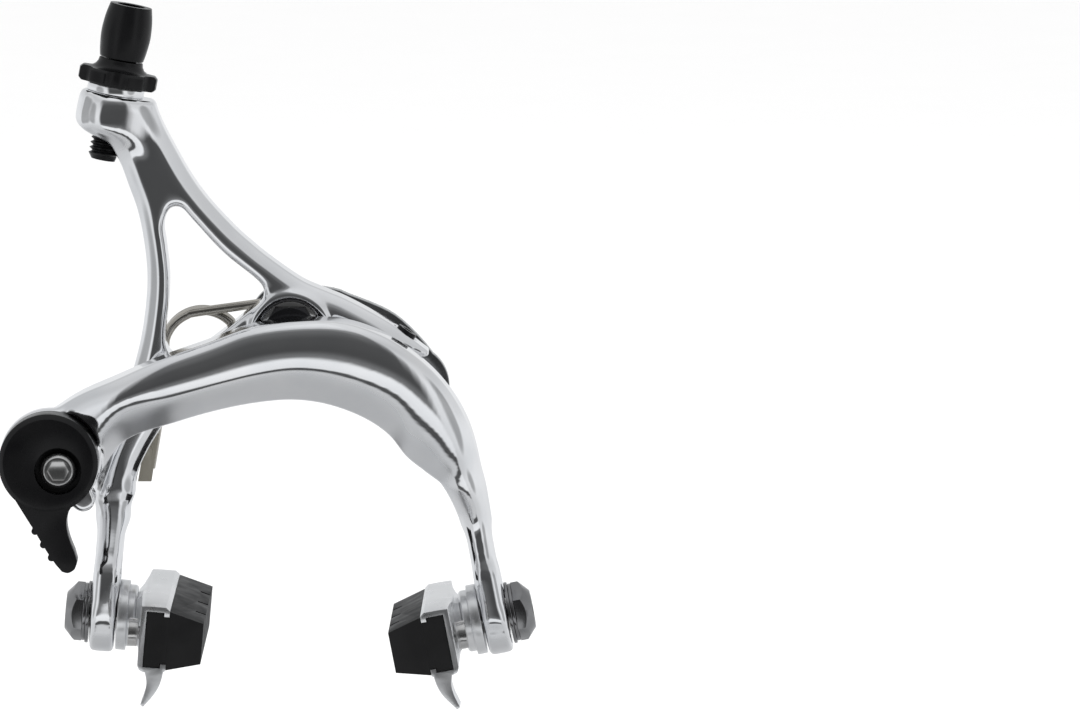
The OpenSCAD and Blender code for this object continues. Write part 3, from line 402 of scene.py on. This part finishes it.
class Field:
    """A grid over a box in millimetres, with a value that is negative inside the metal."""

    def __init__(self, low, high):
        self.low = np.array(low, float)
        x, y, z = (np.arange(a, b, VOXEL, dtype=np.float32) for a, b in zip(low, high))
        self.x, self.z = (g.astype(float) for g in np.meshgrid(x, z, indexing="ij"))
        self.point = x[:, None, None], y[None, :, None], z[None, None, :]
        self.value = np.full((len(x), len(y), len(z)), EMPTY, np.float32)

    def shell(self, sides, front, back, edge, softening=0):
        """The metal between a front and a back surface, inside the sides."""
        faces = []
        for _ in range(softening):
            front, back = (softened(softened(height, 0), 1) for height in (front, back))
        for sign, height in ((1, front), (-1, back)):
            slope = np.gradient(height, VOXEL)
            scale = 1 / np.sqrt(1 + slope[0] ** 2 + slope[1] ** 2)
            flat = height.astype(np.float32)[:, None, :] - self.point[1]
            faces.append(sign * flat * scale.astype(np.float32)[:, None, :])
        return common(common(sides.astype(np.float32)[:, None, :], faces[0], edge), faces[1], 1)

    def along(self, a, b):
        """Where each point of the X-Z grid lies along a bar, as a place between its rows from a to b."""
        ahead, miss = [], []
        for (ax, az), span in zip(a, b - a):
            length = np.hypot(*span)
            px, pz = self.x - ax, self.z - az
            off = (px * span[1] - pz * span[0]) / length
            beyond = np.abs((px * span[0] + pz * span[1]) / length - length / 2) - length / 2
            ahead.append(off.astype(np.float32))
            miss.append(np.hypot(off, np.clip(beyond, 0, None)).astype(np.float32))
        ahead, miss = np.array(ahead), np.array(miss)
        step, span = (a[1] - a[0]) + (b[1] - b[0]), b[0] - a[0]
        if step[0] * span[1] - step[1] * span[0] > 0:
            ahead = -ahead
        near = miss.argmin(0)
        here = np.take_along_axis(ahead, near[None], 0)[0].astype(float)
        other = np.clip(np.where(here < 0, near + 1, near - 1), 0, len(a) - 1)
        there = np.take_along_axis(ahead, other[None], 0)[0].astype(float)
        share = np.clip(here / np.where(here == there, 1, here - there), 0, 1)
        place = (near + share * (other - near)) / FINE_STEPS
        for _ in range(3):
            place = softened(softened(place, 0), 1)
        return place

    def bar(self, stations, edge, softening):
        fine = open_curve(stations)
        a, b = fine[:, 0:2], fine[:, 2:4]
        sides = outline_distance(np.concatenate([a, b[::-1]]), self.x, self.z)
        row = np.moveaxis(through(stations, self.along(a, b)), -1, 0)
        ax, az, bx, bz, front, back, wide_a, deep_a, wide_b, deep_b, roundness = row
        width = np.hypot(bx - ax, bz - az)
        s = np.clip(((self.x - ax) * (bx - ax) + (self.z - az) * (bz - az)) / width, 0, width)
        crown = np.clip((s - wide_a) / np.clip(width - wide_a - wide_b, 0.1, None), 0, 1)
        face = front + deep_a * bulged(1 - s / wide_a) + deep_b * bulged(1 - (width - s) / wide_b)
        face -= FACE_CROWN * 4 * crown * (1 - crown)
        face += (front - face) * np.clip(CROWN_FADE * roundness, 0, 1)
        middle = (front + back) / 2
        round_height = np.sqrt(np.clip(1 - (2 * s / width - 1) ** 2, SIDE_THINNEST, 1))
        swell = 1 - roundness + roundness * round_height
        face, back = (middle + (height - middle) * swell for height in (face, back))
        return self.shell(sides, face, back, edge, softening)

    def leg(self, stations, top, fade):
        """A round leg between the outline's edges, thinner above its top so that it ends in the arm."""
        z = self.point[2][0, 0]

        def at(height, value):
            order = np.argsort(height)
            return np.interp(z, height[order], value[order]).astype(np.float32)

        ax, az, bx, bz, front, back = open_curve(stations).T
        one, other = at(az, ax), at(bz, bx)
        front, back = at((az + bz) / 2, front), at((az + bz) / 2, back)
        thinner = 1 - LEG_THINNING * np.sin(np.pi / 2 * np.clip((z - top) / fade, 0, 1)) ** 2
        wide, deep = np.abs(one - other) / 2 * thinner, (back - front) / 2 * thinner
        across = np.abs(self.point[0] - (one + other) / 2) / wide
        behind = np.abs(self.point[1] - (front + back) / 2) / deep
        ring = (across ** LEG_SQUARENESS + behind ** LEG_SQUARENESS) ** (1 / LEG_SQUARENESS)
        ends = np.maximum(min(az.min(), bz.min()) - z, z - top - fade)
        return common((ring - 1) * np.minimum(wide, deep), ends, SOFT_FILLET)

    def local(self, place, turn, side=1):
        """Coordinates in a frame at a place, mirrored in X by side and turned about Y, in degrees."""
        angle = math.radians(turn)
        dx, dy, dz = (p - q for p, q in zip(self.point, place))
        dx = dx * side
        across = dx * math.cos(angle) - dz * math.sin(angle)
        return across, dy, dx * math.sin(angle) + dz * math.cos(angle)

    def rod(self, at, r, low, high):
        """A cylinder about a line from front to back, at a place in the X-Z plane."""
        return cylinder(self.point[0] - at[0], self.point[2] - at[1], self.point[1], low, high, r)

    def add(self, shape, fillet):
        self.value = joined(self.value, shape.astype(np.float32), fillet)

    def cut(self, shape, edge=0.3):
        self.value = common(self.value, -shape.astype(np.float32), edge)

    def foot(self, place, tilt, side):
        x, y, z = self.local(place, tilt, side)
        half = -FOOT_HALF, FOOT_HALF
        cheeks = block(x, y, z, half, (-FOOT_DEPTH, FOOT_DEPTH), (-1, SLOT_TRAVEL + 2), CHEEK_EDGE)
        self.add(cheeks, CHEEK_FILLET)
        self.add(cylinder(y, z + FOOT_END_DROP, x, *half, FOOT_END_R, FOOT_EDGE), 1)

    def foot_slot(self, place, tilt, side):
        """The slot of the shoe's bolt, and on either side a flat on which its washers slide."""
        x, y, z = self.local(place, tilt, side)
        self.cut(np.hypot(y, z - np.clip(z, 0, SLOT_TRAVEL)) - SLOT_R)
        seat = WASHER_SEAT + SEAT_RUN_OUT
        flat = (-seat, seat), (-seat, SLOT_TRAVEL + seat), SEAT_RUN_OUT
        for reach in ((-FOOT_HALF - SEAT_REACH, -FOOT_HALF), (FOOT_HALF, FOOT_HALF + SEAT_REACH)):
            self.cut(block(x, y, z, reach, *flat), FOOT_EDGE)

    def mesh(self, name, node, body):
        """The zero surface as a mesh in metres, riding on a body in place of a solid."""
        value = self.value
        for axis in range(3):
            value = softened(value, axis)
        grid = openvdb.FloatGrid(EMPTY)
        grid.copyFromArray(np.ascontiguousarray(value, np.float32))
        points, quads = grid.convertToQuads(isovalue=0.0)
        made = bpy.data.meshes.new(name)
        made.from_pydata(((points * VOXEL + self.low) * MM).tolist(), [], quads[:, ::-1].tolist())
        made.polygons.foreach_set("use_smooth", np.ones(len(made.polygons), bool))
        piece = bpy.data.objects.new(name, made)
        scene.collection.objects.link(piece)
        relax = piece.modifiers.new("relax", "SMOOTH")
        relax.factor, relax.iterations = RELAX_FACTOR, RELAX_STEPS
        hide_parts(node)
        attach(piece, body)
        return piece


def rear_arm():
    field = Field((-43, -25, -64), (29, -6, 49))
    outside = outline_distance(closed_curve(PLATE_OUTLINE), field.x, field.z)
    window = outline_distance(closed_curve(WINDOW_OUTLINE), field.x, field.z)
    across = np.clip(-outside / np.clip(window - outside, 0.1, None), 0, 1)
    face = HUB_FRONT + PLATE_BEVEL_D * bulged(1 + outside / PLATE_BEVEL_W)
    face += WINDOW_BEVEL_D * bulged(1 - window / WINDOW_BEVEL_W)
    face += PLATE_CROWN * (2 * across - 1) ** 2
    field.add(field.shell(outside, face, np.full(face.shape, HUB_BACK), 0.3), 0.1)
    field.add(field.leg(LEFT_LEG, LEFT_LEG_TOP, LEFT_LEG_FADE), LEFT_LEG_FILLET)
    field.add(field.rod((0, 0), HUB_R, HUB_FRONT - 0.5, HUB_BACK), 1)
    field.foot(LEFT_FOOT, LEFT_TILT, 1)
    x, y, z = field.local(ADJUSTER_TOP, ADJUSTER_LEAN)
    field.add(cylinder(x, y, z, -LUG_H, 0, LUG_R, LUG_EDGE), LUG_FILLET)
    field.cut(cylinder(x, y, z, 0, 14, LUG_CLEARANCE))
    field.cut(cylinder(x, y, z, -20, 9, LUG_BORE))
    field.cut(HUB_BACK - field.point[1])
    field.cut(window[:, None, :], 0.5)
    field.cut(field.rod((0, 0), HUB_BORE, -30, 0))
    field.cut(field.rod((0, 0), HUB_RECESS_R, -30, HUB_FRONT + HUB_RECESS))
    x, y, z = field.local(CENTRING_TIP, CENTRING_LEAN)
    field.cut(cylinder(x, y, z, -4, 16, CENTRING_BORE))
    field.foot_slot(LEFT_FOOT, LEFT_TILT, 1)
    return field.mesh("rear_arm_skin", "y_arm", "rear_arm")


def front_arm():
    field = Field((-58, -35, -64), (45, -6.5, 6))
    field.add(field.bar(FRONT_ARM, 0.5, 3), 0.1)
    field.add(field.leg(RIGHT_LEG, RIGHT_LEG_TOP, RIGHT_LEG_FADE), SOFT_FILLET)
    field.foot(RIGHT_FOOT, RIGHT_TILT, -1)
    field.add(field.rod(QR_AXIS, QR_RIM_R, QR_FRONT, QR_FRONT + 4), 0.6)
    field.add(field.rod(QR_AXIS + QR_BOSS_SHIFT, QR_BOSS_R, QR_FRONT + 1, QR_BACK), SOFT_FILLET)
    field.add(field.rod(QR_AXIS + QR_STOP_SHIFT, QR_STOP_R, QR_FRONT, QR_BACK - 2), 0.6)
    field.add(field.rod(SIDE_PIVOT, SIDE_BOSS_R, ARM_BACK - 3, HUB_BACK), SOFT_FILLET)
    x, y, z = field.local((SIDE_PIVOT[0], ADJUSTER_Y, SIDE_PIVOT[1]), CENTRING_LEAN)
    field.add(block(x, y, z, *CENTRING_PAD), 0.6)
    field.cut(field.rod(SIDE_PIVOT, SIDE_BORE, HUB_BACK - 8, 0))
    field.cut(field.rod(SIDE_PIVOT, SIDE_THREAD, ARM_BACK - 2, 0))
    field.cut(field.rod(QR_AXIS, QR_CLEARANCE, -50, QR_FRONT))
    field.cut(field.rod(QR_AXIS, QR_BORE, -50, 0))
    field.foot_slot(RIGHT_FOOT, RIGHT_TILT, -1)
    return field.mesh("front_arm_skin", "c_arm", "front_arm")


def make_arms(materials):
    for piece in (rear_arm(), front_arm()):
        piece.data.materials.append(materials["polished_alloy"])


# Finer turned and bent pieces, in millimetres

TURNED_SMOOTH_ANGLE = math.radians(40)


def skinned(name, rings, closed_rings, node, body, slot_name, materials):
    """A mesh over rings of points, each joined to the next; the first and last are capped or joined."""
    count, size = len(rings), len(rings[0])
    faces = []
    for i in range(count if closed_rings else count - 1):
        a, b = i * size, (i + 1) % count * size
        faces += [(a + j, a + (j + 1) % size, b + (j + 1) % size, b + j) for j in range(size)]
    if not closed_rings:
        faces += [tuple(range(size - 1, -1, -1)), tuple(range((count - 1) * size, count * size))]
    mesh = bpy.data.meshes.new(name)
    mesh.from_pydata((np.concatenate(rings) * MM).tolist(), [], faces)
    form = bmesh.new()
    form.from_mesh(mesh)
    bmesh.ops.recalc_face_normals(form, faces=form.faces)
    form.to_mesh(mesh)
    form.free()
    piece = bpy.data.objects.new(name, mesh)
    scene.collection.objects.link(piece)
    mesh.materials.append(materials[slot_name])
    smooth = piece.modifiers.new("smooth", "NODES")
    smooth.node_group = smooth_by_angle(TURNED_SMOOTH_ANGLE)
    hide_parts(node)
    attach(piece, body)
    return piece


WIRE_R, WIRE_SIDES = 0.9, 20
COIL, COIL_R, COIL_PITCH = (-17.3, -4.7), 7.5, 1.95
COIL_START, COIL_END, TURN_STEPS = 98, 900, 22
HOOK_X, HOOK_Z = -4.6, 4.6
SLEEVE_X, SLEEVE_Y = -28.4, -5.8
WIRE_Y = HUB_BACK + WIRE_R + 0.4


def make_spring(materials):
    turns = (COIL_END - COIL_START) / 360
    leg_y = WIRE_Y + COIL_PITCH * turns
    share = np.linspace(0, 1, math.ceil(turns * TURN_STEPS) + 1)
    angle = np.radians(COIL_START + (COIL_END - COIL_START) * share)
    coil = np.stack([COIL[0] + COIL_R * np.cos(angle), WIRE_Y + (leg_y - WIRE_Y) * share,
                     COIL[1] + COIL_R * np.sin(angle)], 1)
    hook = [(HOOK_X, -2.6, HOOK_Z), (HOOK_X, -5.1, HOOK_Z), (HOOK_X - 0.5, WIRE_Y + 0.3, HOOK_Z),
            (HOOK_X - 1.8, WIRE_Y, HOOK_Z - 0.2)]
    leg = [(COIL[0] - COIL_R - 0.1, leg_y - 0.2, -9),
           (COIL[0] - COIL_R - 0.6, (leg_y + SLEEVE_Y) / 2, -15),
           (SLEEVE_X + 2.1, SLEEVE_Y, -20.8), (SLEEVE_X + 0.9, SLEEVE_Y, -27.8)]
    knots = np.concatenate([hook, coil, leg])
    path = open_curve(knots, 4)
    along = np.gradient(path, axis=0)
    along /= np.linalg.norm(along, axis=1)[:, None]
    across = np.cross(along, (0.13, 1, 0.07))
    across /= np.linalg.norm(across, axis=1)[:, None]
    upward = np.cross(across, along)
    turn = np.arange(WIRE_SIDES) * 2 * np.pi / WIRE_SIDES
    rings = [p + WIRE_R * (np.cos(turn)[:, None] * a + np.sin(turn)[:, None] * b)
             for p, a, b in zip(path, across, upward)]
    skinned("spring_wire", rings, False, "return_spring", "root", "spring_steel", materials)


THREAD_R, THREAD_DEPTH, THREAD_END = 3, 0.55, 0.9
BARREL_LOW, KNOB_BASE, KNOB_TOP, KNOB_R = -13, 6.9, 17.3, 4.8
SEAT_R, SEAT_DEPTH, BARREL_BORE = 2.6, 8, 1.2
BARREL_SIDES = 72


def make_barrel(materials):
    """The barrel's outline turned about its axis, with a thread of 1 mm pitch on its lower part."""
    knob = open_curve([(0.88, 0), (0.95, 0.18), (1, 0.45), (0.95, 0.75), (0.84, 1)], 8)
    knob = knob * (KNOB_R, KNOB_TOP - KNOB_BASE) + (0, KNOB_BASE)
    shank = [(THREAD_R, z) for z in np.arange(BARREL_LOW + THREAD_END, KNOB_BASE, 0.1)]
    seat = KNOB_TOP - SEAT_DEPTH
    outline = ([(BARREL_BORE, BARREL_LOW), (THREAD_R - 0.7, BARREL_LOW)] + shank + knob.tolist()
               + [(SEAT_R + 0.4, KNOB_TOP), (SEAT_R, KNOB_TOP - 0.4)]
               + [(SEAT_R, seat), (BARREL_BORE, seat)])
    threaded = [r == THREAD_R for r, _ in outline]
    r, z = np.array(outline).T
    lean = math.radians(ADJUSTER_LEAN)
    rings = []
    for k in range(BARREL_SIDES):
        turn = 2 * math.pi * k / BARREL_SIDES
        wave = np.abs((z - k / BARREL_SIDES) % 1 - 0.5) * 2
        radius = r - np.where(threaded, THREAD_DEPTH * np.clip(1.4 * wave - 0.2, 0, 1), 0)
        x, y = radius * math.cos(turn), radius * math.sin(turn)
        turned = x * math.cos(lean) + z * math.sin(lean), y, z * math.cos(lean) - x * math.sin(lean)
        rings.append(np.stack(turned, 1) + ADJUSTER_TOP)
    skinned("threaded_barrel", rings, True, "adjuster_barrel", "barrel", "black_plastic", materials)


# Studio: pale floor, soft light all round, and a tent that only reflections see

FLOOR_DROP, FLOOR_REACH = 18 * MM, 8
TENT_R = 1.2
# Brightness of the tent by height, from straight down at 0 to straight up at 1, in front and at the sides
FRONT_BANDS = ((0, 0.5), (0.12, 0.66), (0.15, 0.08), (0.19, 0.08), (0.22, 0.85), (0.32, 0.92),
               (0.36, 0.18), (0.44, 0.07), (0.56, 0.08), (0.7, 0.14), (0.82, 0.25), (0.89, 0.65),
               (0.95, 0.8), (1, 0.85))
SIDE_BANDS = ((0, 0.5), (0.2, 0.66), (0.42, 0.8), (0.5, 0.85), (0.6, 0.72), (0.8, 0.6), (1, 0.75))
# Cosines of the angle from straight ahead at which the front gives way to the sides
FRONT_END, FRONT_FULL = 0.8, 0.92
# Dark flags: the cosines where one starts and where it is full, its depth, and its angle
SIDE_FLAG = 0.92, 0.985, 0.5
SIDE_FLAG_ANGLE = math.radians(66)


def make_floor(low):
    mesh = bpy.data.meshes.new("floor")
    corners = (-1, -1), (1, -1), (1, 1), (-1, 1)
    mesh.from_pydata([(x * FLOOR_REACH, y * FLOOR_REACH, low) for x, y in corners], [], [(0, 1, 2, 3)])
    floor = bpy.data.objects.new("floor", mesh)
    scene.collection.objects.link(floor)
    material, tree, principled = shader("floor_paper", (0.96, 0.96, 0.96), 0, 0.9)
    tree.links.new(tinted(tree, noise(tree, 40), (0.957, 0.957, 0.957), (0.963, 0.963, 0.963)),
                   principled.inputs["Base Color"])
    principled.inputs["Specular IOR Level"].default_value = 0.1
    floor.data.materials.append(material)
    floor.visible_glossy = False


def facing(tree, direction, towards, start, full, low, high):
    """low away from a direction and high within it, with a soft step between."""
    dot = tree.nodes.new("ShaderNodeVectorMath")
    dot.operation = "DOT_PRODUCT"
    dot.inputs[1].default_value = towards
    tree.links.new(direction, dot.inputs[0])
    step = tree.nodes.new("ShaderNodeMapRange")
    step.interpolation_type = "SMOOTHSTEP"
    step.inputs["From Min"].default_value = start
    step.inputs["From Max"].default_value = full
    step.inputs["To Min"].default_value = low
    step.inputs["To Max"].default_value = high
    tree.links.new(dot.outputs["Value"], step.inputs["Value"])
    return step.outputs["Result"]


def multiplied(tree, a, b):
    product = tree.nodes.new("ShaderNodeMath")
    product.operation = "MULTIPLY"
    tree.links.new(a, product.inputs[0])
    tree.links.new(b, product.inputs[1])
    return product.outputs["Value"]


def banded(tree, height, bands):
    ramp = tree.nodes.new("ShaderNodeValToRGB")
    ramp.color_ramp.interpolation = "EASE"
    stops = ramp.color_ramp.elements
    for _ in range(len(bands) - 2):
        stops.new(0.5)
    for stop, (at, value) in zip(stops, bands):
        stop.position, stop.color = at, (value * 0.97, value * 0.985, value, 1)
    tree.links.new(height, ramp.inputs["Fac"])
    return ramp.outputs["Color"]


def vector_step(tree, operation, vector, by=None):
    step = tree.nodes.new("ShaderNodeVectorMath")
    step.operation = operation
    tree.links.new(vector, step.inputs[0])
    if by is not None:
        step.inputs[1].default_value = by
    return step.outputs["Vector"]


def make_tent():
    mesh = bpy.data.meshes.new("tent")
    form = bmesh.new()
    bmesh.ops.create_uvsphere(form, u_segments=64, v_segments=32, radius=TENT_R)
    form.to_mesh(mesh)
    form.free()
    tent = bpy.data.objects.new("tent", mesh)
    scene.collection.objects.link(tent)
    material = bpy.data.materials.new("tent")
    material.use_nodes = True
    tree = material.node_tree
    tree.nodes.clear()
    place = tree.nodes.new("ShaderNodeTexCoord")
    direction = vector_step(tree, "NORMALIZE", place.outputs["Object"])
    heading = vector_step(tree, "NORMALIZE", vector_step(tree, "MULTIPLY", direction, (1, 1, 0)))
    height = facing(tree, direction, (0, 0, 1), -1, 1, 0, 1)
    height.node.interpolation_type = "LINEAR"
    mix = tree.nodes.new("ShaderNodeMix")
    mix.data_type = "RGBA"
    tree.links.new(facing(tree, heading, (0, -1, 0), FRONT_END, FRONT_FULL, 0, 1), mix.inputs["Factor"])
    tree.links.new(banded(tree, height, SIDE_BANDS), mix.inputs["A"])
    tree.links.new(banded(tree, height, FRONT_BANDS), mix.inputs["B"])
    start, full, depth = SIDE_FLAG
    flags = [facing(tree, direction, (side * math.sin(SIDE_FLAG_ANGLE), -math.cos(SIDE_FLAG_ANGLE), 0),
                    start, full, 1, 1 - depth) for side in (-1, 1)]
    emission = tree.nodes.new("ShaderNodeEmission")
    tree.links.new(mix.outputs["Result"], emission.inputs["Color"])
    tree.links.new(multiplied(tree, *flags), emission.inputs["Strength"])
    out = tree.nodes.new("ShaderNodeOutputMaterial")
    tree.links.new(emission.outputs["Emission"], out.inputs["Surface"])
    tent.data.materials.append(material)
    for kind in ("camera", "diffuse", "shadow", "transmission", "volume_scatter"):
        setattr(tent, "visible_" + kind, False)


def area_light(name, place, target, size, power):
    data = bpy.data.lights.new(name, "AREA")
    data.shape = "RECTANGLE"
    data.size, data.size_y = size
    data.energy = power
    light = bpy.data.objects.new(name, data)
    light.location = place
    light.rotation_euler = (Vector(target) - Vector(place)).to_track_quat("-Z", "Y").to_euler()
    light.visible_glossy = False
    scene.collection.objects.link(light)


def make_studio():
    make_floor(cad_box[0].z - FLOOR_DROP)
    make_tent()
    area_light("key", (-0.5, -0.5, 0.9), (0, 0, 0), (0.5, 0.5), 4)
    area_light("fill", (0.7, -0.3, 0.6), (0, 0, 0), (0.4, 0.4), 1.5)
    world = bpy.data.worlds.new("tent_light")
    world.use_nodes = True
    world.node_tree.nodes["Background"].inputs["Color"].default_value = (1, 1, 1, 1)
    world.node_tree.nodes["Background"].inputs["Strength"].default_value = 1
    scene.world = world
    scene.view_settings.view_transform = "Standard"


make_camera()
made_materials = make_materials()
dress_frame(made_materials)
make_arms(made_materials)
make_spring(made_materials)
make_barrel(made_materials)
make_studio()
